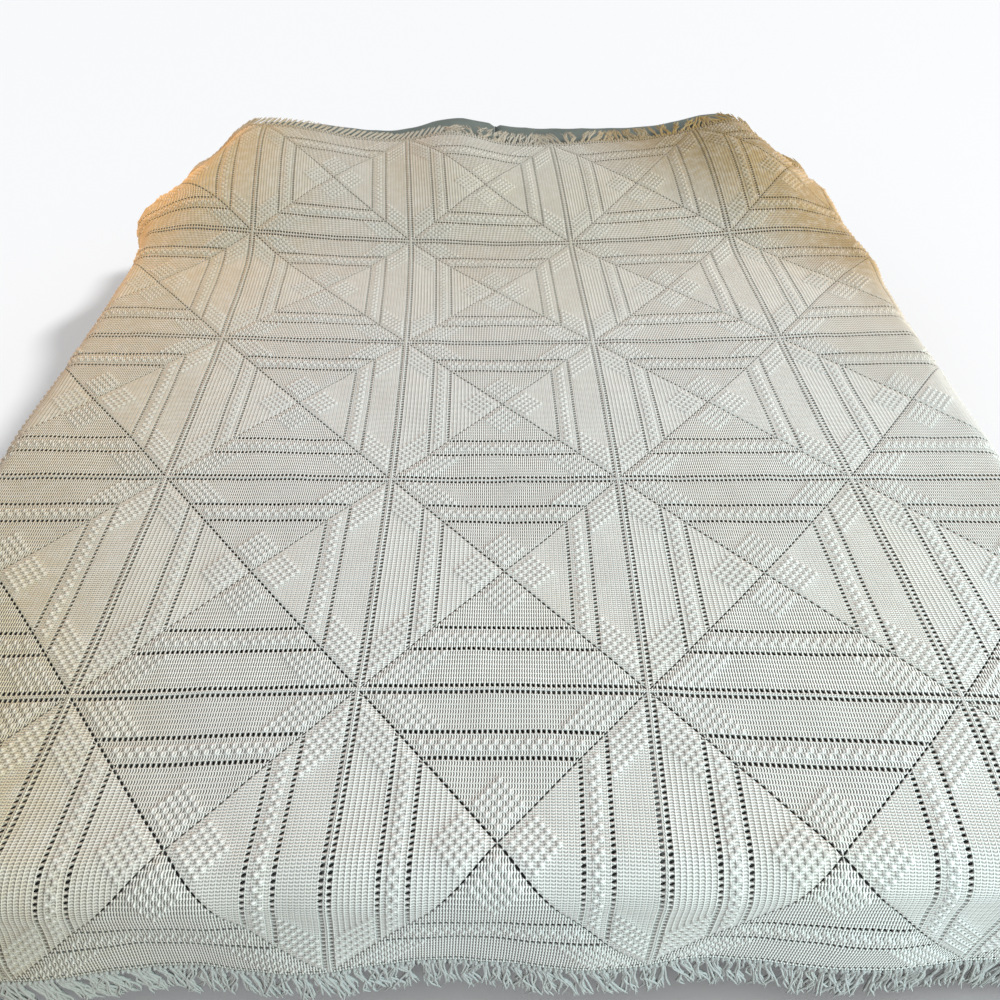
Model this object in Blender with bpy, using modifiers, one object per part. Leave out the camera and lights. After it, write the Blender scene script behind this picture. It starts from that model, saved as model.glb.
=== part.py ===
"""Crochet bedspread with a fringe, laid over a king-size mattress and two pillows.

Metres, +Z up, +X across the bed, +Y towards its head. The bedspread is a square
of 5 by 5 crochet blocks. Its flat coordinates, across and along, run from its own
centre, and drape() says where each flat point lies on the bed.
"""
import math

import bmesh
import bpy
import numpy as np

# Bedspread
BLOCK = 0.42                  # side of one crochet block
BLOCKS = 5                    # blocks along each side
HALF = BLOCK * BLOCKS / 2     # half of the flat side
SHEET = 0.003                 # thickness of the crochet
FRINGE = 0.065                # longest fringe strand
FRINGE_ROOT = 0.012           # depth of the knotted row that holds the strands
SEAM_GAP = 0.0008             # between the sheet's edge and the fringe

# Mattress, king size
MATTRESS_WIDTH = 1.93
MATTRESS_LENGTH = 2.03
MATTRESS_HEIGHT = 0.31
MATTRESS_EDGE = 0.05          # rounding of its top and bottom edges
MATTRESS_CORNER = 0.13        # rounding of its upright corners, seen from above

# How the cloth lies
CLEAR = 0.003                 # from the mattress to the underside of the cloth
TO_FOOT = -0.118              # the spread's centre lies this far towards the foot
TOP_CORNER = MATTRESS_CORNER - MATTRESS_EDGE
ROLL = MATTRESS_EDGE + CLEAR  # radius of the cloth over the mattress's edges
HANG_LEAN = math.radians(6)   # the hanging part leans out
CORNER_LEAN = math.radians(50)  # more at the corners, where it flares
SKEW_ACROSS = (-0.015, -0.037)  # sideways drift along the bed: linear, squared
SKEW_ALONG = -0.026           # rows run a little askew
ROW_BOW = (0.030, 0.07)       # bow of the rows: in the middle, and its growth along
BOW_LIMIT = -0.90             # the bow grows no further than this towards the foot
CORNER_PULL = 0.035           # the right foot corner is pulled outwards by this
CORNER_PULL_AT = (0.76, -0.80)
CORNER_PULL_REACH = (0.32, 0.42)

# Rise over the pillows
RISE_START = 0.485            # where the cloth leaves the mattress
RISE_LENGTH = 0.47            # from there to the crest
RISE_EASE = 0.05              # rounding at its start, as a share of the length
CREST_BASE = 0.105            # lowest height of the crest over the mattress
CREST_BUMPS = (               # across, half-width, height
    (-0.66, 0.26, 0.050),
    (-0.12, 0.13, 0.048),
    (0.71, 0.16, 0.054),
)
RISE_END_LEFT = -0.93
RISE_END_RIGHT = 0.91
RISE_END_FALL = 0.26          # width of the fall at each end
BACK_CORNER = 0.10            # the ends draw in by this at the head
BACK_START = 0.72             # where they start to draw in
BACK_LENGTH = 0.25

# Where the cloth stands off the mattress's sides: side, along, reach, stand-off
PUFFS = (
    (-1, 0.75, 0.09, 0.060),
    (-1, -0.25, 0.35, 0.020),
    (1, 0.45, 0.10, 0.022),
)
PUFF_START = 0.70             # from the bed's middle
PUFF_LENGTH = 0.25

# Unevenness of the flat part: height, wavelength across, wavelength along, phase
WAVES = (
    (0.0012, 0.83, 1.21, 0.4),
    (0.0009, 1.37, 0.64, 2.1),
    (0.0007, 0.51, 0.47, 4.0),
)
HEM_WAVE = 0.007              # swing of the hanging edge, in and out
HEM_WAVELENGTH = 0.37

# Grid lines of the sheet: coarse on the bed, fine where it rolls over an edge
COARSE = 0.07
FINE = 0.021
SIDE_BAND = 0.21
FOOT_BAND = 0.294

# Pillows
PILLOW_HALF_WIDTH = 0.445
PILLOW_MIDDLE = 0.470         # from the bed's middle to each pillow's middle
PILLOW_FRONT = 0.585
PILLOW_BACK = 1.060
PILLOW_ROUND = 0.36           # how far its corners are drawn in
PILLOW_UNDER = 0.007          # from the pillow to the cloth above it
PILLOW_RIM = 0.35             # height of its seam, as a share of the height there
PILLOW_GRID = (16, 10)
REST_GAP = 0.0005             # between the pillows and the mattress

# Materials: colour, roughness
ECRU = ((0.66, 0.62, 0.53), 0.9)
ECRU_FRINGE = ((0.70, 0.65, 0.55), 0.92)
SLATE = ((0.16, 0.18, 0.19), 0.85)
SLATE_PILLOW = ((0.19, 0.21, 0.22), 0.85)


def smooth(t):
    """Smooth step from 0 to 1."""
    t = np.clip(t, 0.0, 1.0)
    return t * t * (3.0 - 2.0 * t)


def lay(across, along):
    """Where a flat point of the spread would lie on an endless flat bed."""
    y = along + TO_FOOT
    x = across + SKEW_ACROSS[0] * y + SKEW_ACROSS[1] * y * y
    bow = ROW_BOW[0] + ROW_BOW[1] * np.maximum(y, BOW_LIMIT)
    y = y + SKEW_ALONG * across + bow * smooth(np.abs(across) / 1.1)
    dx = (across - CORNER_PULL_AT[0]) / CORNER_PULL_REACH[0]
    dy = (along + TO_FOOT - CORNER_PULL_AT[1]) / CORNER_PULL_REACH[1]
    return x + CORNER_PULL * np.exp(-dx * dx - dy * dy), y


def crest_height(x):
    """Height of the cloth over the mattress along the crest of the pillows."""
    height = np.full_like(x, CREST_BASE)
    for middle, half_width, bump in CREST_BUMPS:
        height = height + bump * np.exp(-((x - middle) / half_width) ** 2)
    return height


def rise_share(y):
    """0 in front of the pillows, 1 from their crest to the head."""
    t = (y - RISE_START) / RISE_LENGTH
    return np.clip((t + np.sqrt(t * t + 4 * RISE_EASE * RISE_EASE)) / 2, 0.0, 1.0)


def rise(x, y):
    """Height of the cloth over the flat bed, where it passes over the pillows."""
    back = BACK_CORNER * smooth((y - BACK_START) / BACK_LENGTH)
    left = smooth((x - RISE_END_LEFT - back) / RISE_END_FALL + 0.5)
    right = smooth((RISE_END_RIGHT - back - x) / RISE_END_FALL + 0.5)
    return crest_height(x) * np.sin(rise_share(y) * math.pi / 2) * left * right


def drape(across, along):
    """Underside of the cloth at flat points of the spread, as x, y and z arrays."""
    x, y = lay(across, along)

    # Distance out from the flat top, whose corners are rounded
    core_x = MATTRESS_WIDTH / 2 - MATTRESS_EDGE - TOP_CORNER
    core_y = MATTRESS_LENGTH / 2 - MATTRESS_EDGE - TOP_CORNER
    from_x = x - np.clip(x, -core_x, core_x)
    from_y = np.minimum(y + core_y, 0.0)
    reach = np.hypot(from_x, from_y)
    out_x = from_x / np.maximum(reach, 1e-9)
    out_y = from_y / np.maximum(reach, 1e-9)
    past = np.maximum(reach - TOP_CORNER, 0.0)

    # Over the edge: an arc, then a straight hang that leans out
    corner = 2 * np.abs(out_x * out_y)
    lean = HANG_LEAN + (CORNER_LEAN - HANG_LEAN) * corner
    turn = math.pi / 2 - lean
    angle = np.minimum(past / ROLL, turn)
    hang = np.maximum(past - ROLL * turn, 0.0)
    along_edge = x * np.abs(out_y) + y * np.abs(out_x)
    swing = HEM_WAVE * np.sin(2 * math.pi * along_edge / HEM_WAVELENGTH)
    out = ROLL * np.sin(angle) + hang * np.sin(lean) + (HEM_WAVE + swing) * smooth(hang / 0.1)
    down = ROLL * (1 - np.cos(angle)) + hang * np.cos(lean)
    step = np.minimum(reach, TOP_CORNER) + out
    x = x - from_x + out_x * step
    y = y - from_y + out_y * step
    for side, middle, reach_along, stand_off in PUFFS:
        share = smooth((side * x - PUFF_START) / PUFF_LENGTH)
        x = x + side * stand_off * share * np.exp(-((y - middle) / reach_along) ** 2)

    # Over the pillows the slope uses up some of the cloth's length
    share = rise_share(y)
    used = share + np.sin(math.pi * share) / math.pi
    y = y - used * (crest_height(x) * math.pi / 4) ** 2 / RISE_LENGTH

    uneven = sum(height * (1 + np.sin(2 * math.pi * (x / wide + y / long) + phase))
                 for height, wide, long, phase in WAVES)
    z = MATTRESS_HEIGHT + CLEAR + rise(x, y) + uneven * smooth(1 - past / 0.05) - down
    return x, y, z


def stations(low_band, high_band):
    """Grid lines from edge to edge of the sheet, close together in the bands."""
    low = np.linspace(-HALF, -HALF + low_band, round(low_band / FINE) + 1)
    middle_length = 2 * HALF - low_band - high_band
    middle = np.linspace(low[-1], low[-1] + middle_length, round(middle_length / COARSE) + 1)
    if not high_band:
        return np.concatenate([low, middle[1:]])
    high = np.linspace(middle[-1], HALF, round(high_band / FINE) + 1)
    return np.concatenate([low, middle[1:], high[1:]])


def add_material(obj, name, look):
    color, roughness = look
    material = bpy.data.materials.new(name)
    material.use_nodes = True
    shader = material.node_tree.nodes["Principled BSDF"]
    shader.inputs["Base Color"].default_value = (*color, 1.0)
    shader.inputs["Roughness"].default_value = roughness
    shader.inputs["Metallic"].default_value = 0.0
    material.diffuse_color = (*color, 1.0)
    obj.data.materials.append(material)


def add_object(name, bm, look):
    """Turn a bmesh into a named object with a material of its own."""
    mesh = bpy.data.meshes.new(name)
    bm.normal_update()
    bm.to_mesh(mesh)
    bm.free()
    obj = bpy.data.objects.new(name, mesh)
    bpy.context.scene.collection.objects.link(obj)
    add_material(obj, name, look)
    return obj


def thicken(obj):
    """Give an open sheet its thickness, outwards from its underside."""
    solidify = obj.modifiers.new("Thickness", "SOLIDIFY")
    solidify.thickness = SHEET
    solidify.offset = 1.0
    solidify.use_even_offset = True
    solidify.thickness_clamp = 0.5


def grid(columns, rows):
    """A flat grid whose corners lie at whole numbers: column, row."""
    bm = bmesh.new()
    bmesh.ops.create_grid(bm, x_segments=columns, y_segments=rows, size=0.5)
    for vert in bm.verts:
        vert.co.x = round((vert.co.x + 0.5) * columns)
        vert.co.y = round((vert.co.y + 0.5) * rows)
    return bm


def place(bm, across, along):
    """Move the grid's corners from flat coordinates to their place on the bed."""
    points = np.stack(drape(across, along), axis=1)
    for vert, point in zip(bm.verts, points):
        vert.co = point


def bedspread():
    """The crochet sheet, one piece with its border."""
    columns = stations(SIDE_BAND, SIDE_BAND)
    rows = stations(FOOT_BAND, 0.0)
    bm = grid(len(columns) - 1, len(rows) - 1)
    across = np.array([columns[round(vert.co.x)] for vert in bm.verts])
    along = np.array([rows[round(vert.co.y)] for vert in bm.verts])
    place(bm, across, along)
    thicken(add_object("bedspread", bm, ECRU))


def fringe(name, lines, place_strip):
    """A comb along one edge: a knotted row, and a tooth on every other stretch.

    place_strip turns the distance along the edge and the distance out from it
    into flat coordinates of the spread.
    """
    bm = grid(len(lines) - 1, 2)
    between = [face for face in bm.faces
               if face.calc_center_median().y > 1 and int(face.calc_center_median().x) % 2]
    bmesh.ops.delete(bm, geom=between, context="FACES")
    along_edge = np.array([lines[round(vert.co.x)] for vert in bm.verts])
    tooth = np.array([round(vert.co.x) // 2 for vert in bm.verts])
    row = np.array([round(vert.co.y) for vert in bm.verts])
    length = FRINGE * (0.93 + 0.07 * np.sin(2.4 * tooth))
    out = SEAM_GAP + np.choose(row, (0.0 * length, FRINGE_ROOT + 0.0 * length, length))
    across, along = place_strip(along_edge, out)
    place(bm, across, along)
    thicken(add_object(name, bm, ECRU_FRINGE))


def fringes():
    columns = stations(SIDE_BAND, SIDE_BAND)
    rows = stations(FOOT_BAND, 0.0)
    fringe("fringe_foot", columns[::-1], lambda edge, out: (edge, -HALF - out))
    fringe("fringe_head", columns, lambda edge, out: (edge, HALF + out))
    fringe("fringe_left", rows, lambda edge, out: (-HALF - out, edge))
    fringe("fringe_right", rows[::-1], lambda edge, out: (HALF + out, edge))


def mattress():
    """A plain mattress with rounded corners and edges, flat underneath."""
    bm = bmesh.new()
    bmesh.ops.create_cube(bm, size=1.0)
    bmesh.ops.scale(bm, vec=(MATTRESS_WIDTH, MATTRESS_LENGTH, MATTRESS_HEIGHT), verts=bm.verts)
    bmesh.ops.translate(bm, vec=(0, 0, MATTRESS_HEIGHT / 2), verts=bm.verts)
    upright = [edge for edge in bm.edges
               if abs(edge.verts[0].co.z - edge.verts[1].co.z) > MATTRESS_HEIGHT / 2]
    bmesh.ops.bevel(bm, geom=upright, offset=MATTRESS_CORNER, segments=6, profile=0.5,
                    affect="EDGES", material=-1)
    level = [edge for edge in bm.edges
             if abs(edge.verts[0].co.z - edge.verts[1].co.z) < MATTRESS_HEIGHT / 2]
    bmesh.ops.bevel(bm, geom=level, offset=MATTRESS_EDGE, segments=4, profile=0.5,
                    affect="EDGES", material=-1)
    add_object("mattress", bm, SLATE)


def pillow(name, middle):
    """A plain pillow that fills the space under the raised cloth."""
    bm = bmesh.new()
    columns, rows = PILLOW_GRID
    bmesh.ops.create_grid(bm, x_segments=columns, y_segments=rows, size=1.0)
    under = bmesh.ops.extrude_face_region(bm, geom=bm.faces[:], use_keep_orig=True)
    lower = {item for item in under["geom"] if isinstance(item, bmesh.types.BMVert)}
    depth = (PILLOW_BACK - PILLOW_FRONT) / 2
    for vert in bm.verts:
        side, front = vert.co.x, vert.co.y
        x = middle + PILLOW_HALF_WIDTH * side * math.sqrt(1 - PILLOW_ROUND * front ** 2)
        y = PILLOW_FRONT + depth + depth * front * math.sqrt(1 - PILLOW_ROUND * side ** 2)
        space = float(rise(np.array([x]), np.array([y]))[0]) - PILLOW_UNDER
        plump = math.sqrt(max(0.0, (1 - side ** 4) * (1 - front ** 4)))
        height = max(0.012, space) * (PILLOW_RIM + (1 - PILLOW_RIM) * plump)
        vert.co = (x, y, MATTRESS_HEIGHT + (REST_GAP if vert in lower else height))
    bmesh.ops.recalc_face_normals(bm, faces=bm.faces)
    add_object(name, bm, SLATE_PILLOW)


def centre_on_ground():
    """Put the middle of the whole thing over the origin and its base at z = 0."""
    view_layer = bpy.context.view_layer
    view_layer.update()
    depsgraph = bpy.context.evaluated_depsgraph_get()
    corners = []
    for obj in bpy.context.scene.objects:
        whole = obj.evaluated_get(depsgraph)
        corners += [tuple(corner) for corner in whole.bound_box]
    corners = np.array(corners)
    middle = (corners.min(axis=0) + corners.max(axis=0)) / 2
    for obj in bpy.context.scene.objects:
        for vert in obj.data.vertices:
            vert.co.x -= middle[0]
            vert.co.y -= middle[1]


def main():
    for obj in list(bpy.data.objects):
        bpy.data.objects.remove(obj, do_unlink=True)
    mattress()
    pillow("pillow_left", -PILLOW_MIDDLE)
    pillow("pillow_right", PILLOW_MIDDLE)
    bedspread()
    fringes()
    centre_on_ground()


main()
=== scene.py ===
import math
import random

import bmesh
import bpy
import numpy as np
from mathutils import Matrix, Vector


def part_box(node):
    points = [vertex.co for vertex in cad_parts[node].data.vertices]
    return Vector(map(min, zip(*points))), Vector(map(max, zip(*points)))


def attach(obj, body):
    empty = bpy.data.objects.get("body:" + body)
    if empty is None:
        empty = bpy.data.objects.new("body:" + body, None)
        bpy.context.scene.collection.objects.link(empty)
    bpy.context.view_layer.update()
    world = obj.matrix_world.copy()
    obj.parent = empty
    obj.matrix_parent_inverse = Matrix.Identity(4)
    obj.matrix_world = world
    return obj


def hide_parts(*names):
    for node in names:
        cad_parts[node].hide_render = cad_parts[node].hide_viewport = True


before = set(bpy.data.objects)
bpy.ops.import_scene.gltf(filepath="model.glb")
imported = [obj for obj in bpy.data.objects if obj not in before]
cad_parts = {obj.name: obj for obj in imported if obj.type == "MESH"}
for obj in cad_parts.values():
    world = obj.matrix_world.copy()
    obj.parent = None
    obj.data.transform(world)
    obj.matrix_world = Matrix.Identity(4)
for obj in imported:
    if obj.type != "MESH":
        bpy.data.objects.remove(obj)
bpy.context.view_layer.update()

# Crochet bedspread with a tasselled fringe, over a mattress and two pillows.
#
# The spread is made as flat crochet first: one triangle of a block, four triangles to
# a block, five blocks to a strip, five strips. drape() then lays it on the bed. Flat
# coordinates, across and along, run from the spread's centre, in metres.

BED_LOW, BED_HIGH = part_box("mattress")
BED_MIDDLE = (BED_LOW + BED_HIGH) / 2
NEAR = 1e-4                   # measures this close count as equal
HAIR = 0.01                   # and places this close, in cells of the crochet
WELD = 2e-5                   # points this close are joined
WELD_CELLS = 1e-3             # and in cells

# Bedspread
BLOCK = 0.42                  # side of one crochet block
BLOCKS = 5                    # blocks along each side
HALF = BLOCK * BLOCKS / 2
ROUNDS = 28                   # rounds of crochet in a block, from its centre
CELL = 0.00744                # height of one round, and width of two stitches
SEAM = BLOCK / 2 / CELL - ROUNDS  # joining round, in cells
SEAM_RIDGE = 0.0009           # the joining round stands proud by this
CLOTH = 0.0022                # from the underside to the plain stitches' faces
HEM_DROP = 0.0022             # depth of the rims round holes and hem

# Eyelets, in cells
EYELET_ROUNDS = (14, 19, 27)
EYELET_LONG = 0.97            # across the round
EYELET_WIDE = 0.56            # along the round
EYELET_CORNER = 0.74          # how far its corners are drawn in
EYELET_LEAN = -0.26           # sideways lean, as a share of its length
EYELET_LEAST = 0.6            # smaller cells, cut by a diagonal, have no eyelet
CUT_EYELET_RIM = 0.17         # width of the rim where a diagonal cuts the cell

# Slits along the diagonals, in cells
SLIT_WIDE = 0.24              # half width on one diagonal
SLIT_NARROW = 0.18            # and on the other
SLIT_CUTS = (0.05, 0.18, 0.5, 0.82, 0.95)  # points along a slit, in shares of a round
SLIT_SHAPE = (0.0, 0.8, 1.0, 0.8, 0.0)     # how far each is opened
DIAGONAL_STEP = 0.5           # the diagonal is cut at every half round

# Bobbles
DIAMOND = 11.8                # half diagonal of the centre diamond of bobbles, in cells
BAND_ROUNDS = (16, 17)        # rounds with bobbles right across
CORNER_ROUNDS = (20, 26)      # rounds with bobbles next to the diagonals
CORNER_CELLS = 9              # and how many cells they reach along the round
BOBBLE_FOOT = 0.06            # from the cell's edge to the bobble, in cells
BOBBLE_WIDTH = 0.66           # of the cell, across the bobble
BOBBLE_LEAN = 0.22            # sideways lean, as a share of its length
BOBBLE_SHOULDER = 0.0017
BOBBLE_TOP = 0.0032
PIT = 0.0004                  # the cells between bobbles sink by this

# Fringe
FRINGE = 0.062                # length of a tassel
FOOT_FRINGE = 0.092           # at the foot they are longer
TASSEL_PITCH = 0.020
HEAD_PITCH = 0.0165           # at the head they lie closer together
FOOT_PITCH = 0.0140           # and at the foot closer still
TASSEL_YARNS = 6
YARN = 0.0014                 # radius of a yarn
FOOT_YARN = 0.0018
YARN_TIP = 0.45               # radius of its end, as a share of the yarn's
YARN_POINTS = 7
TASSEL_SWAY = 0.30            # most that a tangled tassel leans of itself, either way
TASSEL_CURL = 0.009           # and most that it curls
TASSEL_SHORT = 0.12           # a tassel is up to this share shorter
TANGLED_SHORT = 0.25          # and a tangled one by up to this more
YARN_SWAY = (0.05, 0.20)      # most that a yarn leans of itself: combed, added by tangle
YARN_CURL = (0.0008, 0.006)   # most that it curls
YARN_SHORTEST = 0.82          # of its tassel's length
CURL_TURN = 1.6               # half turns of a curl along the yarn
CURL_LIFT = 0.4               # a curl also lifts the yarn by this share
YARN_RING = 0.0016            # the yarns of a tassel start in a ring of this radius
YARN_SPREAD = 0.0012          # and part by this on their way
YARN_UP = 0.0022              # height of a tassel's middle over the cloth's underside
KNOT = 0.0026                 # radius of a knot's loop
KNOT_PATH = ((0.0, 0.0010), (0.0022, 0.0036), (0.0055, 0.0036), (0.0082, 0.0012))  # out, up
SIDE_TANGLE = 0.4             # 0 is combed, 1 is tangled
FOOT_TANGLE = 0.6
HEAD_TANGLE = 0.8
HEAD_COMBED = 0.03            # the tangle at the head's left
HEAD_COMBED_TO = -0.10        # which ends here
HEAD_LEAN_TO = -0.05          # the even lean ends here
HEAD_LEAN = 0.50
FOOT_LEAN = 0.20
# How the lean drifts along an edge: size, radians to a metre, place of no drift
FOOT_DRIFT = ((0.12, 7.0, 0.0), (0.10, 23.0, 0.0))
HEAD_DRIFT = ((0.08, 15.0, 0.0),)
HEAD_CLUMPS = ((0.60, 24.0, 0.28), (0.30, 42.0, 0.43))
HEAD_SHORT = 0.30             # the tassels get shorter by this share
HEAD_SHORT_FROM = -0.60       # from here to the left corner
HEAD_SHORT_RUN = 0.25

# Mattress the cloth was cut for
MATTRESS_WIDTH, MATTRESS_LENGTH, MATTRESS_HEIGHT = BED_HIGH - BED_LOW
MATTRESS_EDGE = 0.05          # rounding of its top and bottom edges
MATTRESS_CORNER = 0.13        # rounding of its upright corners, seen from above

# How the cloth lies on the mattress, in metres from the bed's middle
CLEAR = 0.003                 # gap between cloth and mattress
TO_FOOT = -0.118              # the spread's centre lies this far towards the foot
TOP_CORNER = MATTRESS_CORNER - MATTRESS_EDGE
ROLL = MATTRESS_EDGE + CLEAR  # radius of the cloth over the edge
HANG_LEAN = math.radians(6)   # the hanging cloth leans out by this
CORNER_LEAN = math.radians(50)  # and by this at the corners
SKEW_ACROSS = (-0.015, -0.037)  # sideways shift with y, and with its square
SKEW_ALONG = -0.026           # shift along the bed with the distance across
ROW_BOW = (0.030, 0.07)       # bow of the rows at the middle, and its growth with y
BOW_LIMIT = -0.90             # no further towards the foot than this
BOW_REACH = 1.1               # distance across at which the bow is reached
CORNER_PULL = 0.035           # the foot's right corner is pulled out
CORNER_PULL_AT = (0.76, -0.80)
CORNER_PULL_REACH = (0.32, 0.42)
RISE_START = 0.485            # where the cloth starts to rise over the pillows
RISE_LENGTH = 0.47
RISE_EASE = 0.05              # softness of its start
CREST_BASE = 0.105            # least height of the crest
# Bumps on the crest: middle, half width, height
CREST_BUMPS = ((-0.66, 0.26, 0.050), (-0.12, 0.13, 0.048), (0.71, 0.16, 0.054))
RISE_END_LEFT = -0.93         # across the bed, half way down
RISE_END_RIGHT = 0.91
RISE_END_FALL = 0.26          # width of the fall
BACK_CORNER = 0.10            # the rise's ends draw in towards the head
BACK_START = 0.72             # from here on
BACK_LENGTH = 0.25
# Puffed places at the sides: side, middle and reach along the bed, stand-off
PUFFS = ((-1, 0.75, 0.09, 0.060), (-1, -0.25, 0.35, 0.020), (1, 0.45, 0.10, 0.022))
PUFF_START = 0.70             # distance across at which they start
PUFF_LENGTH = 0.25
# Long waves: height, wavelength across, wavelength along, phase
WAVES = ((0.0012, 0.83, 1.21, 0.4), (0.0009, 1.37, 0.64, 2.1), (0.0007, 0.51, 0.47, 4.0))
WAVES_END = 0.05              # they fade out over this distance past the edge
HEM_WAVE = 0.007              # waves of the hanging cloth
HEM_WAVELENGTH = 0.37
HEM_WAVE_RUN = 0.1            # they grow over this length of hanging cloth

# Slack in the crochet: height, wavelength across, wavelength along, phase
PUCKERS = ((0.0008, 0.21, 0.23, 0.3), (0.0004, 0.11, -0.13, 1.9), (0.0003, 0.067, 0.31, 4.4))
# Creases at the head's corners: across, along, reach, height, wavelength, direction
CREASES = ((-0.93, 0.82, 0.09, 0.0045, 0.040, 0.5), (0.94, 0.87, 0.08, 0.0045, 0.036, 2.6))

# Pillows
PILLOW_HALF_WIDTH = 0.4697
PILLOW_MIDDLE = 0.470         # from the bed's middle to each pillow's middle
PILLOW_FRONT = 0.585
PILLOW_BACK = 1.080
PILLOW_ROUND = 0.11           # how far its outer corners are drawn in
PILLOW_UNDER = 0.006          # from the pillow to the cloth above it
PILLOW_GRID = (60, 36)
PILLOW_BASE = 0.0005          # gap over the mattress
PILLOW_THIN = 0.012           # least room that it fills
PILLOW_LEAST = 0.008          # its least thickness
PILLOW_SEAM = (0.30, 0.28)    # height of its seam as a share, and its gain inwards
PILLOW_CREASE = 0.003
PILLOW_CREASES = (17, 9)      # radians of creasing over half its width and depth
FRONT_SQUARE, BACK_SQUARE = 6, 20   # how full it is towards each edge
OUTER_SQUARE, INNER_SQUARE = 6, 40
SWELL = 0.010                 # the pillows swell up behind the head edge by this
SWELL_RUN = 0.05              # over this distance
SWELL_GAP = 0.004             # starting a little further back than the tassels' lift
SWELL_FROM, SWELL_TO = -0.02, 0.66  # across the bed
SWELL_FALL = 0.16

# Colours
COTTON = (0.745, 0.725, 0.685)
# aged cotton, which also serves as the painted warm lamp glow
COTTON_AGED_AND_GLOW = (0.58, 0.45, 0.22)
# painted warm lamp glow, darker, for the head's right corner
COTTON_CORNER_GLOW = (0.42, 0.28, 0.085)
# pale yarn slubs, and the painted highlight on the bobbles' tops
COTTON_SLUB_AND_HIGHLIGHT = (0.87, 0.855, 0.82)
COTTON_GAP = (0.10, 0.097, 0.090)
COTTON_FIBRE = (0.45, 0.43, 0.38)
COTTON_FRINGE = (0.66, 0.63, 0.57)
FRINGE_HEAD_SHADE = (0.40, 0.33, 0.25)   # painted shade, browner, at the head
FRINGE_FOOT_SHADE = (0.32, 0.355, 0.37)  # and painted shade, cool blue, at the foot
FRINGE_WORN = (0.46, 0.45, 0.41)
FRINGE_FRAYED = (0.34, 0.32, 0.28)
SLATE = (0.17, 0.18, 0.18)
SLATE_PILLOW = (0.16, 0.185, 0.165)
SHEET_THREAD = 0.0012         # pitch of the sheeting's threads
CASE_THREAD = 0.0010
FLOOR = (0.97, 0.97, 0.97)

# Shares of aged colour, of painted warm lamp glow and of the fringe's painted shade
AGED_BROADLY = 0.13
HEAD_GLOW = 0.28
LEFT_EDGE_GLOW = 0.52
FOOT_LEFT_GLOW = 0.25
HEAD_LEFT_CORNER_GLOW = 0.25
CORNER_GLOW_SHARE = 0.93
FRINGE_SHADE_SHARE = 0.60

# Stitches
STITCHES = 2.0                # to a cell
POST_SLANT = 0.5              # lean of a post over half a round, in stitches
STITCH_DEPTH = 0.0017
POST_HEIGHT = 0.7             # against the chain's

# Camera, placed from the bed's middle and the floor; angles in degrees
LENS = 29.05
SENSOR = 36.0
SHIFT = -0.10
CAMERA_X, CAMERA_Y, CAMERA_Z = BED_MIDDLE.x - 0.012, BED_MIDDLE.y - 1.364, 1.405
PITCH, YAW, ROLLED = 40.74, 0.43, 0.71

# Floor and lights
FLOOR_SIZE = 9.0
DOME_STRENGTH = 0.60
DOME_COLOR = (0.97, 0.985, 1.0, 1.0)
SUN_TOWARD = (1.0, 0.40, 0.95)
SUN_STRENGTH = 2.00
SUN_SOFTNESS = 8.0            # degrees across
SUN_COLOR = (0.98, 0.985, 1.0)
# Lamps: name, place, aim, size, power, colour
LAMPS = (
    ("front_fill", (2.3, -2.3, 1.6), (0.5, -0.7, 0.2), 1.6, 95.0, (0.72, 0.96, 1.0)),
    ("warm_left", (-1.60, 1.05, 0.75), (-0.95, 0.75, 0.35), 0.30, 11.0, (1.0, 0.50, 0.15)),
    ("warm_right", (1.75, 0.85, 0.80), (0.95, 0.70, 0.35), 0.30, 6.0, (1.0, 0.50, 0.15)),
)


# ---------------------------------------------------------------- materials

class Wire:
    """A value in a material. Python's arithmetic on it adds Math nodes."""

    def __init__(self, recipe, socket):
        self.recipe = recipe
        self.socket = socket

    def math(self, operation, *others):
        values = dict(enumerate((self,) + others))
        return self.recipe.node("ShaderNodeMath", {"operation": operation}, values)

    def __add__(self, other):
        return self.math("ADD", other)

    def __radd__(self, other):
        return self.math("ADD", other)

    def __sub__(self, other):
        return self.math("SUBTRACT", other)

    def __rsub__(self, other):
        return self.recipe.value(other).math("SUBTRACT", self)

    def __mul__(self, other):
        return self.math("MULTIPLY", other)

    def __rmul__(self, other):
        return self.math("MULTIPLY", other)

    def __truediv__(self, other):
        return self.math("DIVIDE", other)

    def __rtruediv__(self, other):
        return self.recipe.value(other).math("DIVIDE", self)

    def __mod__(self, other):
        return self.math("FLOORED_MODULO", other)

    def __rmod__(self, other):
        return self.recipe.value(other).math("FLOORED_MODULO", self)

    def __neg__(self):
        return self.math("MULTIPLY", -1.0)

    def __abs__(self):
        return self.math("ABSOLUTE")

    def wave(self):
        """Cosine of the value in turns, from 0 to 1."""
        return (self * (2 * math.pi)).math("COSINE") * 0.5 + 0.5

    def within(self, low, high):
        """0 below low, 1 above high, smooth between."""
        settings = {"interpolation_type": "SMOOTHSTEP"}
        values = {"Value": self, "From Min": low, "From Max": high}
        return self.recipe.node("ShaderNodeMapRange", settings, values)


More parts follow.
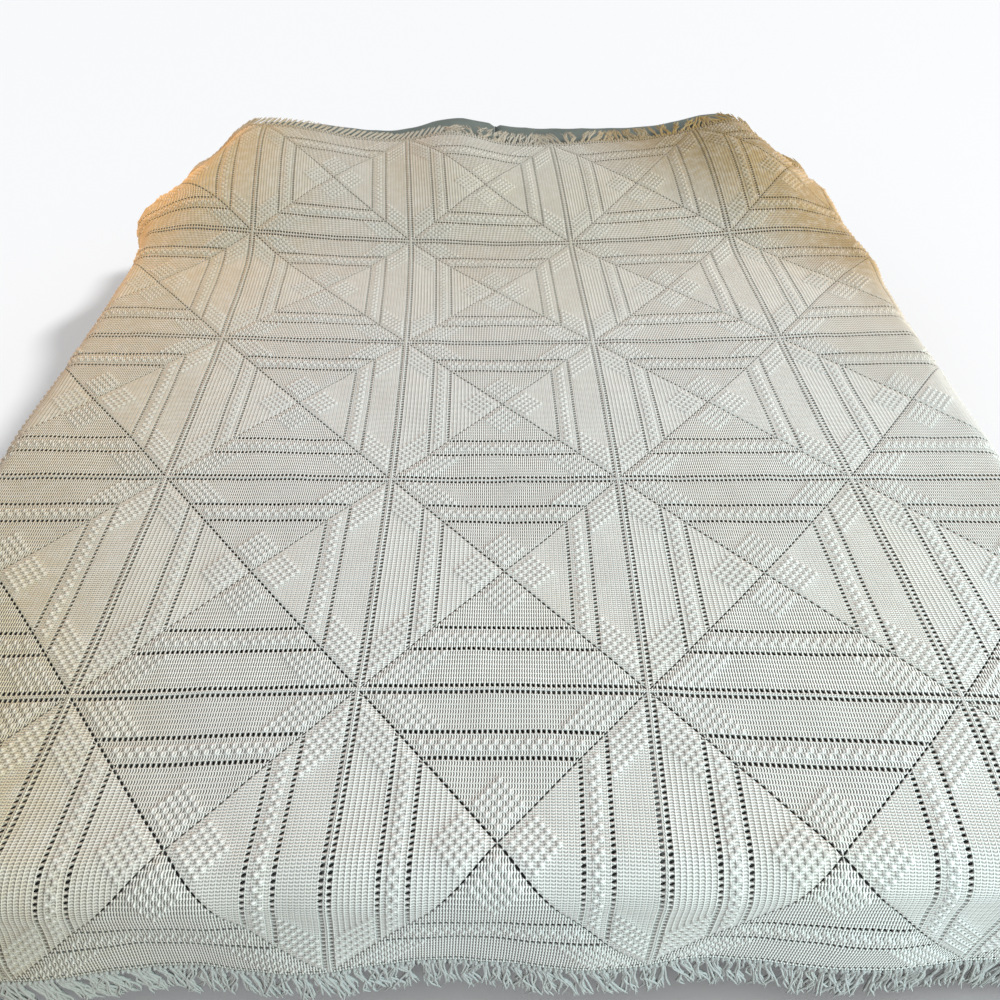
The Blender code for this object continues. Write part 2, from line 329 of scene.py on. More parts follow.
class Recipe:
    """A material under construction, round one Principled shader."""

    def __init__(self, name, roughness, **uniform):
        self.material = bpy.data.materials.new(name)
        self.material.use_nodes = True
        self.tree = self.material.node_tree
        self.shader = self.tree.nodes["Principled BSDF"]
        self.shader.inputs["Roughness"].default_value = roughness
        for socket, value in uniform.items():
            self.shader.inputs[socket.replace("_", " ")].default_value = value

    def node(self, kind, settings=None, values=None, out=0):
        """Add a node: its settings first, then the values or links of its sockets."""
        made = self.tree.nodes.new(kind)
        for name, setting in (settings or {}).items():
            setattr(made, name, setting)
        for key, value in (values or {}).items():
            self.plug(made.inputs[key], value)
        return Wire(self, made.outputs[out])

    def plug(self, socket, value):
        """Link a wire to a socket, or set the socket's own value."""
        if isinstance(value, Wire):
            self.tree.links.new(value.socket, socket)
        elif isinstance(value, tuple) and len(value) == 3 and socket.type == "RGBA":
            socket.default_value = (*value, 1.0)
        else:
            socket.default_value = value

    def value(self, number):
        return self.node("ShaderNodeMath", {"operation": "ADD"}, {0: number, 1: 0.0})

    def place(self):
        """Where a point of the piece is, in metres."""
        return self.node("ShaderNodeTexCoord", out="Object")

    def parts(self, vector):
        """The three coordinates of a vector, each a wire."""
        split = self.node("ShaderNodeSeparateXYZ", None, {0: vector})
        outputs = split.socket.node.outputs
        return [Wire(self, outputs[axis]) for axis in range(3)]

    def attribute(self, name):
        return self.node("ShaderNodeAttribute", {"attribute_name": name}, out="Fac")

    def noise(self, vector, scale, detail=2.0, roughness=0.5):
        values = {"Vector": vector, "Scale": scale, "Detail": detail, "Roughness": roughness}
        return self.node("ShaderNodeTexNoise", None, values)

    def blend(self, share, first, second):
        """Mix two colours; the second shows where share is 1."""
        settings = {"data_type": "RGBA", "blend_type": "MIX", "clamp_factor": True}
        values = {"Factor": share, 6: first, 7: second}
        return self.node("ShaderNodeMix", settings, values, out=2)

    def finish(self, color, height, depth, strength=1.0):
        """Plug in the colour, and the height as a bump this deep in metres."""
        self.plug(self.shader.inputs["Base Color"], color)
        values = {"Height": height, "Distance": depth, "Strength": strength}
        bump = self.node("ShaderNodeBump", None, values)
        self.plug(self.shader.inputs["Normal"], bump)
        return self.material


def aging_and_lamp_glow(recipe, place):
    """Broad patches where the cotton has aged, and painted warm lamp glow at the left edge,
    the head, the foot's left and the head's left.
    """
    x, y = recipe.parts(place)[:2]
    broad = recipe.noise(place, 2.1, 2.0).within(0.50, 0.72)
    head = y.within(-0.1, 0.8)
    left_edge = (-x).within(0.35, 0.85)
    foot_left = (-x - y).within(1.0, 1.6)
    head_left = (-x + y * 0.9).within(1.20, 1.65)
    return (broad * AGED_BROADLY + head * HEAD_GLOW + left_edge * LEFT_EDGE_GLOW
            + foot_left * FOOT_LEFT_GLOW + head_left * HEAD_LEFT_CORNER_GLOW)


def corner_lamp_glow(recipe, place):
    """Painted warm lamp glow, darker, at the head's right corner."""
    x, y = recipe.parts(place)[:2]
    return (x + y * 0.9).within(1.02, 1.45) * CORNER_GLOW_SHARE


def crochet_finish():
    """Cotton stitches: slanted posts in each round, and a chain along its top."""
    recipe = Recipe("crochet_cotton", 0.82, Specular_IOR_Level=0.25)
    stitches = recipe.node("ShaderNodeUVMap", {"uv_map": "stitches"})
    along, outward = recipe.parts(stitches)[:2]
    raised = recipe.attribute("raised")
    sideways = recipe.attribute("sideways")
    round_share = outward % 1.0
    off_middle = abs(round_share - 0.5)
    post = (along * STITCHES + off_middle * POST_SLANT).wave()
    chain = off_middle.within(0.30, 0.47)
    link = (along * STITCHES + round_share).wave() * 0.4 + 0.6
    plain = 1.0 - raised.within(0.25, 0.9) * 0.7
    height = (post * (1.0 - chain) * POST_HEIGHT + chain * link) * (plain * 0.8 + 0.2)

    # Shade between posts, under each round's chain, and between bobbles
    gap = (1.0 - post).within(0.40, 0.85) * (1.0 - chain * 0.7) * plain
    furrow = abs(round_share - 0.22).within(0.30, 0.0) * sideways
    pit = (-raised).within(0.0, 0.38)
    dark = gap * (1.0 - sideways * 0.50) + furrow * 0.28 + pit * 0.08

    place = recipe.place()
    fibre = recipe.noise(place, 900.0, 3.0, 0.6)
    slub = recipe.noise(place, 60.0, 2.0)
    # Aged patches, and painted warm lamp glow at the left, the head and the head's right
    # corner
    color = recipe.blend(aging_and_lamp_glow(recipe, place), COTTON, COTTON_AGED_AND_GLOW)
    color = recipe.blend(corner_lamp_glow(recipe, place), color, COTTON_CORNER_GLOW)
    color = recipe.blend(slub.within(0.35, 0.75) * 0.25, color, COTTON_SLUB_AND_HIGHLIGHT)
    color = recipe.blend(dark, color, COTTON_GAP)
    # Painted highlight on the bobbles' tops
    color = recipe.blend(raised * 0.22, color, COTTON_SLUB_AND_HIGHLIGHT)
    color = recipe.blend(fibre * 0.14, color, COTTON_FIBRE)
    return recipe.finish(color, height + fibre * 0.12, STITCH_DEPTH)


def fringe_finish():
    """Soft cotton yarn, a little frayed and uneven in colour, with painted shade at the head
    and the foot and painted warm lamp glow.
    """
    recipe = Recipe("fringe_cotton", 0.88, Specular_IOR_Level=0.2)
    place = recipe.place()
    y = recipe.parts(place)[1]
    fibre = recipe.noise(place, 700.0, 3.0, 0.6)
    patch = recipe.noise(place, 18.0, 2.0)
    # Aged patches and painted warm lamp glow, then painted shade at the head and the foot
    color = recipe.blend(aging_and_lamp_glow(recipe, place), COTTON_FRINGE, COTTON_AGED_AND_GLOW)
    # Painted shade on the yarns at the head and at the foot
    color = recipe.blend(y.within(0.80, 0.95) * FRINGE_SHADE_SHARE, color, FRINGE_HEAD_SHADE)
    color = recipe.blend((-y).within(0.90, 1.00) * FRINGE_SHADE_SHARE, color, FRINGE_FOOT_SHADE)
    color = recipe.blend(corner_lamp_glow(recipe, place), color, COTTON_CORNER_GLOW)
    color = recipe.blend(patch.within(0.4, 0.7) * 0.35, color, FRINGE_WORN)
    color = recipe.blend(fibre.within(0.35, 0.7) * 0.25, color, FRINGE_FRAYED)
    return recipe.finish(color, fibre, 0.0006, 0.8)


def slate_finish(name, color, thread):
    """Plain woven sheeting, with a little lint. The thread's pitch is in metres."""
    recipe = Recipe(name, 0.9, Specular_IOR_Level=0.2)
    place = recipe.place()
    x, y, z = recipe.parts(place)
    warp = (x / thread).wave()
    weft = ((y + z) / thread).wave()
    check = (x / (2 * thread)).wave() * ((y + z) / (2 * thread)).wave()
    lint = recipe.noise(place, 14.0, 3.0)
    pale = tuple(min(1.0, channel * 1.7) for channel in color)
    dark = tuple(channel * 0.72 for channel in color)
    shade = recipe.blend(lint.within(0.35, 0.75) * 0.3, color, pale)
    shade = recipe.blend(check * 0.35, shade, dark)
    return recipe.finish(shade, warp * weft + check * 0.4, 0.0004, 0.7)


def floor_finish():
    """Pale paint, faintly mottled."""
    recipe = Recipe("floor_paint", 0.7)
    mottle = recipe.noise(recipe.place(), 1.5, 2.0)
    worn = tuple(0.98 * channel for channel in FLOOR)
    recipe.plug(recipe.shader.inputs["Base Color"], recipe.blend(mottle * 0.3, FLOOR, worn))
    return recipe.material


# ------------------------------------------------------------ how cloth lies

def smooth(t):
    """Smooth step from 0 to 1."""
    t = np.clip(t, 0.0, 1.0)
    return t * t * (3.0 - 2.0 * t)


def lay(across, along):
    """Where a flat point of the spread would lie on an endless flat bed."""
    skew, skew_growth = SKEW_ACROSS
    bow, bow_growth = ROW_BOW
    y = along + TO_FOOT
    dx = (across - CORNER_PULL_AT[0]) / CORNER_PULL_REACH[0]
    dy = (y - CORNER_PULL_AT[1]) / CORNER_PULL_REACH[1]
    x = across + skew * y + skew_growth * y * y + CORNER_PULL * np.exp(-dx * dx - dy * dy)
    bowed = (bow + bow_growth * np.maximum(y, BOW_LIMIT)) * smooth(np.abs(across) / BOW_REACH)
    return x, y + SKEW_ALONG * across + bowed


def crest_height(x):
    """Height of the cloth over the mattress along the crest of the pillows."""
    height = np.full_like(x, CREST_BASE)
    for middle, half_width, bump in CREST_BUMPS:
        height = height + bump * np.exp(-((x - middle) / half_width) ** 2)
    return height


def rise_share(y):
    """0 in front of the pillows, 1 from their crest to the head."""
    t = (y - RISE_START) / RISE_LENGTH
    return np.clip((t + np.sqrt(t * t + 4 * RISE_EASE * RISE_EASE)) / 2, 0.0, 1.0)


def rise(x, y):
    """Height of the cloth over the flat bed, where it passes over the pillows."""
    back = BACK_CORNER * smooth((y - BACK_START) / BACK_LENGTH)
    left = smooth((x - RISE_END_LEFT - back) / RISE_END_FALL + 0.5)
    right = smooth((RISE_END_RIGHT - back - x) / RISE_END_FALL + 0.5)
    return crest_height(x) * np.sin(rise_share(y) * math.pi / 2) * left * right


def ripple(waves, x, y):
    """Soft unevenness, from 0 up."""
    return sum(height * (1 + np.sin(2 * math.pi * (x / wide + y / long) + phase))
               for height, wide, long, phase in waves)


def drape(across, along):
    """Underside of the cloth at flat points of the spread, one row of x, y, z each."""
    x, y = lay(across, along)

    # Distance out from the flat top, whose corners are rounded
    core_x = MATTRESS_WIDTH / 2 - MATTRESS_EDGE - TOP_CORNER
    core_y = MATTRESS_LENGTH / 2 - MATTRESS_EDGE - TOP_CORNER
    from_x = x - np.clip(x, -core_x, core_x)
    from_y = np.minimum(y + core_y, 0.0)
    reach = np.hypot(from_x, from_y)
    out_x = from_x / np.maximum(reach, 1e-9)
    out_y = from_y / np.maximum(reach, 1e-9)
    past = np.maximum(reach - TOP_CORNER, 0.0)

    # Over the edge: an arc, then a straight hang that leans out
    corner = 2 * np.abs(out_x * out_y)
    lean = HANG_LEAN + (CORNER_LEAN - HANG_LEAN) * corner
    turn = math.pi / 2 - lean
    angle = np.minimum(past / ROLL, turn)
    hang = np.maximum(past - ROLL * turn, 0.0)
    along_edge = x * np.abs(out_y) + y * np.abs(out_x)
    swing = HEM_WAVE * (1 + np.sin(2 * math.pi * along_edge / HEM_WAVELENGTH))
    out = ROLL * np.sin(angle) + hang * np.sin(lean) + swing * smooth(hang / HEM_WAVE_RUN)
    down = ROLL * (1 - np.cos(angle)) + hang * np.cos(lean)
    step = np.minimum(reach, TOP_CORNER) + out
    x = x - from_x + out_x * step
    y = y - from_y + out_y * step
    for side, middle, reach_along, stand_off in PUFFS:
        share = smooth((side * x - PUFF_START) / PUFF_LENGTH)
        x = x + side * stand_off * share * np.exp(-((y - middle) / reach_along) ** 2)

    # Over the pillows the slope uses up some of the cloth's length
    share = rise_share(y)
    used = share + np.sin(math.pi * share) / math.pi
    y = y - used * (crest_height(x) * math.pi / 4) ** 2 / RISE_LENGTH

    uneven = ripple(WAVES, x, y) * smooth(1 - past / WAVES_END)
    z = MATTRESS_HEIGHT + CLEAR + rise(x, y) + uneven - down
    return np.stack([x + BED_MIDDLE.x, y + BED_MIDDLE.y, z + BED_LOW.z], axis=-1)


def swell(x, behind):
    """How far the pillows swell up at a distance behind the spread's head edge."""
    from_left = smooth((x - SWELL_FROM) / SWELL_FALL + 0.5)
    from_right = smooth((SWELL_TO - x) / SWELL_FALL + 0.5)
    return SWELL * smooth(behind / SWELL_RUN) * from_left * from_right


def lay_on_bed(flat):
    """Place flat points, whose third coordinate is the height over the underside."""
    across, along, height = flat[:, 0], flat[:, 1], flat[:, 2]
    nudge = 0.002
    base = drape(across, along)
    tangent = drape(across + nudge, along) - base
    bitangent = drape(across, along + nudge) - base
    normal = np.cross(tangent, bitangent)
    normal /= np.linalg.norm(normal, axis=1, keepdims=True)
    slack = ripple(PUCKERS, across, along) + swell(across, along - HALF)
    for middle, up, reach, tall, wavelength, direction in CREASES:
        near = np.exp(-((across - middle) ** 2 + (along - up) ** 2) / reach ** 2)
        over = (across - middle) * math.cos(direction) + (along - up) * math.sin(direction)
        fold = 1 - np.abs(np.sin(math.pi * over / wavelength + 3 * (along - up)))
        slack = slack + tall * near * fold ** 2
    return base + normal * (height + slack)[:, None]


# ------------------------------------------------------------------- meshes

def points_of(mesh):
    """The mesh's points, one row each."""
    flat = np.empty(len(mesh.vertices) * 3, np.float32)
    mesh.vertices.foreach_get("co", flat)
    return flat.reshape(-1, 3).astype(float)


def set_points(mesh, points):
    mesh.vertices.foreach_set("co", points.astype(np.float32).ravel())
    mesh.update()


def finished(name, mesh, material):
    """A named piece that rides with the bed."""
    obj = bpy.data.objects.new(name, mesh)
    bpy.context.scene.collection.objects.link(obj)
    mesh.materials.clear()
    mesh.materials.append(material)
    mesh.polygons.foreach_set("use_smooth", [True] * len(mesh.polygons))
    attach(obj, "root")
    return obj


def mesh_from(bm, name):
    """Turn a finished bmesh into a mesh."""
    mesh = bpy.data.meshes.new(name)
    bm.normal_update()
    bm.to_mesh(mesh)
    bm.free()
    return mesh


# ---------------------------------------------------------- crochet, laid flat

def cell_of(face):
    """Round of a face, and its place along the round, both counted from the middle."""
    middle = face.calc_center_bounds()
    return int(math.floor(middle.y)), int(round(middle.x))


def faces_up(face):
    return face.normal.z > 0.5


def blank_triangle():
    """Rounds and stitches of one of a block's four triangles, in cells."""
    bm = bmesh.new()
    columns = 2 * ROUNDS + 1
    bmesh.ops.create_grid(bm, x_segments=columns, y_segments=ROUNDS + 1, size=0.5)
    for vert in bm.verts:
        vert.co.x = round((vert.co.x + 0.5) * columns) - columns / 2
        row = round((vert.co.y + 0.5) * (ROUNDS + 1))
        vert.co.y = min(row, ROUNDS + SEAM)
    for side in (1, -1):
        bmesh.ops.bisect_plane(bm, geom=bm.verts[:] + bm.edges[:] + bm.faces[:],
                               plane_co=(0, 0, 0), plane_no=(side, -1, 0),
                               dist=1e-5, clear_outer=True)
    return bm


def on_diagonal(vert):
    return abs(abs(vert.co.x) - vert.co.y) < NEAR


def cut_diagonals(bm):
    """Add the points along both diagonals at which the slits change their width."""
    diagonal = [edge for edge in bm.edges if all(on_diagonal(v) for v in edge.verts)
                and edge.verts[0].co.x * edge.verts[1].co.x >= 0
                and max(v.co.y for v in edge.verts) < ROUNDS + HAIR]
    for edge in diagonal:
        low = min(edge.verts, key=lambda vert: vert.co.y)
        start = low.co.y % 1.0
        stop = start + DIAGONAL_STEP
        cuts = [cut for cut in SLIT_CUTS if start + HAIR < cut < stop - HAIR]
        length = DIAGONAL_STEP
        for cut in reversed(cuts):
            added = bmesh.utils.edge_split(edge, low, (cut - start) / length)[1]
            edge = next(e for e in added.link_edges if low in e.verts)
            length = cut - start


def open_slits(bm, wide_side):
    """Open one slit in each round along both diagonals."""
    cut_diagonals(bm)
    lips = []
    for vert in bm.verts:
        if on_diagonal(vert) and HAIR < vert.co.y < ROUNDS + HAIR:
            for cut, shape in zip(SLIT_CUTS, SLIT_SHAPE):
                if abs(vert.co.y % 1.0 - cut) < HAIR and shape:
                    lips.append((vert, shape))
    lip_verts = {vert for vert, shape in lips}
    rims = [edge for edge in bm.edges if edge.is_boundary
            and any(v in lip_verts for v in edge.verts)]
    for vert, shape in lips:
        side = math.copysign(1, vert.co.x)
        width = SLIT_WIDE if side == wide_side else SLIT_NARROW
        vert.co.x -= side * shape * width / math.sqrt(2)
        vert.co.y += shape * width / math.sqrt(2)
    drop_rim(bm, rims)


def drop_rim(bm, edges):
    """Fold a lip down round an opening."""
    rim = bmesh.ops.extrude_edge_only(bm, edges=edges)
    for item in rim["geom"]:
        if isinstance(item, bmesh.types.BMVert):
            item.co.z -= HEM_DROP


def shape_eyelet(face):
    """Make a square face an upright oval, leaning a little."""
    middle = face.calc_center_bounds()
    for edge in face.edges[:]:
        bmesh.utils.edge_split(edge, edge.verts[0], 0.5)
    for vert in face.verts:
        offset = vert.co - middle
        corner = min(abs(offset.x), abs(offset.y)) > EYELET_LONG / 4
        drawn = EYELET_CORNER if corner else 1.0
        offset.x *= EYELET_WIDE / EYELET_LONG * drawn
        offset.y *= drawn
        offset.x += EYELET_LEAN * offset.y
        vert.co = middle + offset


def open_eyelets(bm):
    """Oval holes, one in each cell of the eyelet rounds."""
    cells = []
    for face in bm.faces:
        round_number, place = cell_of(face)
        if round_number in EYELET_ROUNDS and abs(place) <= round_number and faces_up(face):
            if face.calc_area() > EYELET_LEAST:
                cells.append(face)
    whole = [face for face in cells if len(face.verts) == 4]
    cut = [face for face in cells if len(face.verts) > 4]
    bmesh.ops.inset_individual(bm, faces=whole, thickness=(1 - EYELET_LONG) / 2,
                               use_even_offset=True)
    bmesh.ops.inset_individual(bm, faces=cut, thickness=CUT_EYELET_RIM,
                               use_even_offset=True)
    for face in whole:
        shape_eyelet(face)
    rims = [edge for face in cells for edge in face.edges]
    bmesh.ops.delete(bm, geom=cells, context="FACES_ONLY")
    drop_rim(bm, rims)


def has_bobble(round_number, place):
    """Bobbles stand on every other cell, staggered from round to round."""
    if (round_number + place) % 2 or abs(place) >= round_number:
        return False
    if abs(place) + round_number + 0.5 <= DIAMOND or round_number in BAND_ROUNDS:
        return True
    in_rounds = CORNER_ROUNDS[0] <= round_number <= CORNER_ROUNDS[1]
    return in_rounds and abs(place) >= round_number - CORNER_CELLS


def is_pit(round_number, place):
    """Cells with a bobble on both sides, along the round."""
    if round_number in EYELET_ROUNDS:
        return False
    return has_bobble(round_number, place - 1) and has_bobble(round_number, place + 1)


def raise_bobbles(bm):
    """Bobbles, and between them the sunk cells."""
    squares = [face for face in bm.faces if len(face.verts) == 4 and faces_up(face)]
    cells = [face for face in squares if has_bobble(*cell_of(face))]
    pits = [face for face in squares if is_pit(*cell_of(face))]
    bmesh.ops.inset_individual(bm, faces=cells, thickness=BOBBLE_FOOT,
                               use_even_offset=True)
    for vert in bmesh.ops.poke(bm, faces=pits)["verts"]:
        vert.co.z -= PIT
    for face in cells:
        middle = face.calc_center_bounds()
        for vert in face.verts:
            lean = BOBBLE_LEAN * (vert.co.y - middle.y)
            vert.co.x = middle.x + (vert.co.x - middle.x) * BOBBLE_WIDTH + lean
            vert.co.z += BOBBLE_SHOULDER
    for vert in bmesh.ops.poke(bm, faces=cells)["verts"]:
        vert.co.z += BOBBLE_TOP - BOBBLE_SHOULDER


def crochet_triangle(wide_side, sideways):
    """One triangle of a block. The wide slits are on one side of it."""
    bm = blank_triangle()
    open_slits(bm, wide_side)
    open_eyelets(bm)
    raise_bobbles(bm)
    for vert in bm.verts:
        if vert.co.y > ROUNDS + HAIR and vert.co.z > -HEM_DROP / 2:
            vert.co.z += SEAM_RIDGE
    raised = bm.verts.layers.float.new("raised")
    for vert in bm.verts:
        vert[raised] = min(1.0, max(-1.0, vert.co.z / BOBBLE_TOP))
    turned = bm.faces.layers.float.new("sideways")
    stitches = bm.loops.layers.uv.new("stitches")
    for face in bm.faces:
        face[turned] = sideways
        for loop in face.loops:
            loop[stitches].uv = loop.vert.co.xy
    return mesh_from(bm, "crochet_triangle")


def crochet_block():
    """One block laid flat, round its own centre, in metres."""
    bm = bmesh.new()
    for quarter in range(4):
        sideways = quarter % 2
        triangle = crochet_triangle(1 if sideways else -1, float(sideways))
        triangle.transform(Matrix.Rotation(quarter * math.pi / 2, 4, "Z"))
        bm.from_mesh(triangle)
        bpy.data.meshes.remove(triangle)
    bmesh.ops.remove_doubles(bm, verts=bm.verts, dist=WELD_CELLS)
    bmesh.ops.scale(bm, vec=(CELL, CELL, 1), verts=bm.verts)
    return mesh_from(bm, "crochet_block")


def crochet_strip(block, row):
    """Five blocks side by side, with a turned-down hem on the spread's outer edges."""
    bm = bmesh.new()
    for column in range(BLOCKS):
        shift = Vector((column - BLOCKS // 2, row - BLOCKS // 2, 0)) * BLOCK
        copy = block.copy()
        copy.transform(Matrix.Translation(shift))
        bm.from_mesh(copy)
        bpy.data.meshes.remove(copy)
    bmesh.ops.remove_doubles(bm, verts=bm.verts, dist=WELD)
    hem = [edge for edge in bm.edges if edge.is_boundary
           and (all(abs(v.co.x) > HALF - NEAR for v in edge.verts)
                or all(abs(v.co.y) > HALF - NEAR for v in edge.verts))]
    drop_rim(bm, hem)
    mesh = mesh_from(bm, f"crochet_strip_{row + 1}")
    flat = points_of(mesh)
    flat[:, 2] += CLOTH
    set_points(mesh, lay_on_bed(flat))
    return mesh


# ------------------------------------------------------------------- fringe

def either_way(draw, most):
    return draw.uniform(-1, 1) * most


def yarn_path(root, turn, length, sways, curl, phase):
    """One yarn's way out from the edge; turn is its place in the tassel's ring."""
    path = []
    for step in range(YARN_POINTS):
        t = step / (YARN_POINTS - 1)
        away = length * t
        aside = away * (sways[0] + sways[1] * t)
        aside += sum(curl) * math.sin(math.pi * t * CURL_TURN + phase * t)
        spread = YARN_SPREAD * math.cos(turn) * (0.4 + t)
        up = YARN_UP + YARN_SPREAD * math.sin(turn) * (0.5 + t)
        up += abs(curl[1]) * CURL_LIFT * t
        path.append((root + aside + spread, away, up))
    return path


def yarn_paths(seed, start, stop, pitch, lean, tangle, reach):
    """Flat paths of the yarns of a row of tassels: distance along, out and up.

    Lean, tangle and length of a tassel are functions of where it stands.
    """
    draw = random.Random(seed)
    paths = []
    count = round((stop - start) / pitch)
    for tassel in range(count):
        middle = start + (tassel + 0.5) * (stop - start) / count
        mess = tangle(middle)
        sway = lean(middle) + either_way(draw, TASSEL_SWAY * mess)
        curl = either_way(draw, TASSEL_CURL * mess)
        short = draw.uniform(0.0, TASSEL_SHORT)
        shorter = draw.uniform(0.0, TANGLED_SHORT) * mess
        length = reach(middle) * (1 - short - shorter)
        for yarn in range(TASSEL_YARNS):
            turn = 2 * math.pi * yarn / TASSEL_YARNS
            own_sway = either_way(draw, YARN_SWAY[0] + YARN_SWAY[1] * mess)
            own_curl = either_way(draw, YARN_CURL[0] + YARN_CURL[1] * mess)
            phase = draw.uniform(0, 2 * math.pi)
            own_length = length * draw.uniform(YARN_SHORTEST, 1.0)
            root = middle + YARN_RING * math.cos(turn)
            paths.append(yarn_path(root, turn, own_length, (sway, own_sway),
                                   (curl, own_curl), phase))
    return paths


def knot_paths(start, stop, pitch):
    """Two short thick loops for each tassel, where it is knotted into the edge."""
    count = 2 * round((stop - start) / pitch)
    places = [start + (knot + 0.5) * (stop - start) / count for knot in range(count)]
    return [[(place, out, up) for out, up in KNOT_PATH] for place in places]


def fringe(name, node, paths, knots, to_flat, yarn=YARN):
    """A row of tassels as one mesh of yarns."""
    curve = bpy.data.curves.new(name, "CURVE")
    curve.dimensions = "3D"
    curve.bevel_depth = 1.0
    curve.bevel_resolution = 0
    curve.use_fill_caps = True
    for group, thick in ((paths, yarn), (knots, KNOT)):
        flat = np.array([to_flat(*point) for path in group for point in path])
        placed = lay_on_bed(flat)
        start = 0
        for path in group:
            spline = curve.splines.new("POLY")
            spline.points.add(len(path) - 1)
            for step, point in enumerate(spline.points):
                point.co = (*placed[start + step], 1.0)
                last = step == len(path) - 1
                point.radius = thick * (YARN_TIP if last else 1.0)
            start += len(path)
    holder = bpy.data.objects.new(name + "_curve", curve)
    bpy.context.scene.collection.objects.link(holder)
    bpy.context.view_layer.update()
    depsgraph = bpy.context.evaluated_depsgraph_get()
    mesh = bpy.data.meshes.new_from_object(holder.evaluated_get(depsgraph))
    mesh.name = name
    bpy.data.objects.remove(holder)
    bpy.data.curves.remove(curve)
    piece = finished(name, mesh, FRINGE_COTTON)
    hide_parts(node)
    return piece


def drift(terms, middle):
    """How far the lean has drifted to one side here."""
    return sum(size * math.sin(rate * (middle - place)) for size, rate, place in terms)


def foot_lean(middle):
    return FOOT_LEAN + drift(FOOT_DRIFT, middle)


def head_lean(middle):
    """In order on the left, in clumps with gaps between them on the right."""
    if middle < HEAD_LEAN_TO:
        return HEAD_LEAN + drift(HEAD_DRIFT, middle)
    return drift(HEAD_CLUMPS, middle)


def head_reach(middle):
    """Length of the head's tassels, shorter towards the left corner."""
    share = float(smooth((HEAD_SHORT_FROM - middle) / HEAD_SHORT_RUN))
    return FRINGE * (1 - HEAD_SHORT * share)


def head_tangle(middle):
    return HEAD_COMBED if middle < HEAD_COMBED_TO else HEAD_TANGLE


def side_fringe(side, name, row):
    """The tassels on one side of one strip."""
    low = (row - BLOCKS / 2) * BLOCK
    high = low + BLOCK
    paths = yarn_paths(20 + row + 10 * side, low, high, TASSEL_PITCH, foot_lean,
                       lambda middle: SIDE_TANGLE, lambda middle: FRINGE)
    return fringe(f"tassels_{name}_{row + 1}", f"fringe_{name}", paths,
                  knot_paths(low, high, TASSEL_PITCH),
                  lambda edge, out, up: (side * (HALF + out), edge, up))


def foot_fringe():
    paths = yarn_paths(3, -HALF, HALF, FOOT_PITCH, foot_lean,
                       lambda middle: FOOT_TANGLE, lambda middle: FOOT_FRINGE)
    return fringe("tassels_foot", "fringe_foot", paths,
                  knot_paths(-HALF, HALF, FOOT_PITCH),
                  lambda edge, out, up: (edge, -HALF - out, up), FOOT_YARN)


def head_fringe():
    paths = yarn_paths(5, -HALF, HALF, HEAD_PITCH, head_lean, head_tangle, head_reach)
    return fringe("tassels_head", "fringe_head", paths,
                  knot_paths(-HALF, HALF, HEAD_PITCH),
                  lambda edge, out, up: (edge, HALF + out, up))


def fringes():
    """All four fringes, listed by the strip that they hang from."""
    by_strip = [[side_fringe(-1, "left", row), side_fringe(1, "right", row)]
                for row in range(BLOCKS)]
    by_strip[0].append(foot_fringe())
    by_strip[-1].append(head_fringe())
    return by_strip


# ------------------------------------------------------ mattress and pillows

def is_upright(edge):
    return abs(edge.verts[0].co.z - edge.verts[1].co.z) > MATTRESS_HEIGHT / 2


def round_edges(bm, edges, radius, segments):
    bmesh.ops.bevel(bm, geom=edges, offset=radius, segments=segments, profile=0.5,
                    affect="EDGES", material=-1)


def mattress_cover():
    """The mattress in a fitted sheet."""
    bm = bmesh.new()
    bmesh.ops.create_cube(bm, size=1.0)
    bmesh.ops.scale(bm, vec=(MATTRESS_WIDTH, MATTRESS_LENGTH, MATTRESS_HEIGHT), verts=bm.verts)
    round_edges(bm, [edge for edge in bm.edges if is_upright(edge)], MATTRESS_CORNER, 12)
    round_edges(bm, [edge for edge in bm.edges if not is_upright(edge)], MATTRESS_EDGE, 8)
    bmesh.ops.translate(bm, vec=BED_MIDDLE, verts=bm.verts)
    piece = finished("mattress_cover", mesh_from(bm, "mattress_cover"), SLATE_SHEET)
    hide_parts("mattress")
    return piece


def pillow_plan(middle, side, front):
    """Where a pillow's point lies on the bed; side and front run from -1 to 1."""
    outward = math.copysign(1, middle)
    rounding = PILLOW_ROUND * (1 + side * outward) / 2
    depth = (PILLOW_BACK - PILLOW_FRONT) / 2
    x = middle + PILLOW_HALF_WIDTH * side * math.sqrt(1 - rounding * front ** 2)
    y = PILLOW_FRONT + depth + depth * front * math.sqrt(1 - rounding * side ** 2)
    return x, y


def pillow_height(middle, side, front, room, seed):
    """Height of a pillow's top, for the room there is under the cloth."""
    outer = side * math.copysign(1, middle)
    to_ends = side ** (OUTER_SQUARE if outer > 0 else INNER_SQUARE)
    to_edges = front ** (FRONT_SQUARE if front < 0 else BACK_SQUARE)
    plump = math.sqrt(max(0.0, (1 - to_ends) * (1 - to_edges)))
    seam, gain = PILLOW_SEAM
    least = seam + gain * (1 - outer)
    near_rim = (side * side + front * front) / 2
    over_width, over_depth = PILLOW_CREASES
    waves = math.sin(side * over_width + front * over_depth + seed)
    crease = PILLOW_CREASE * waves * near_rim
    full = max(PILLOW_THIN, room) * (least + (1 - least) * plump)
    return max(PILLOW_LEAST, full - abs(crease))


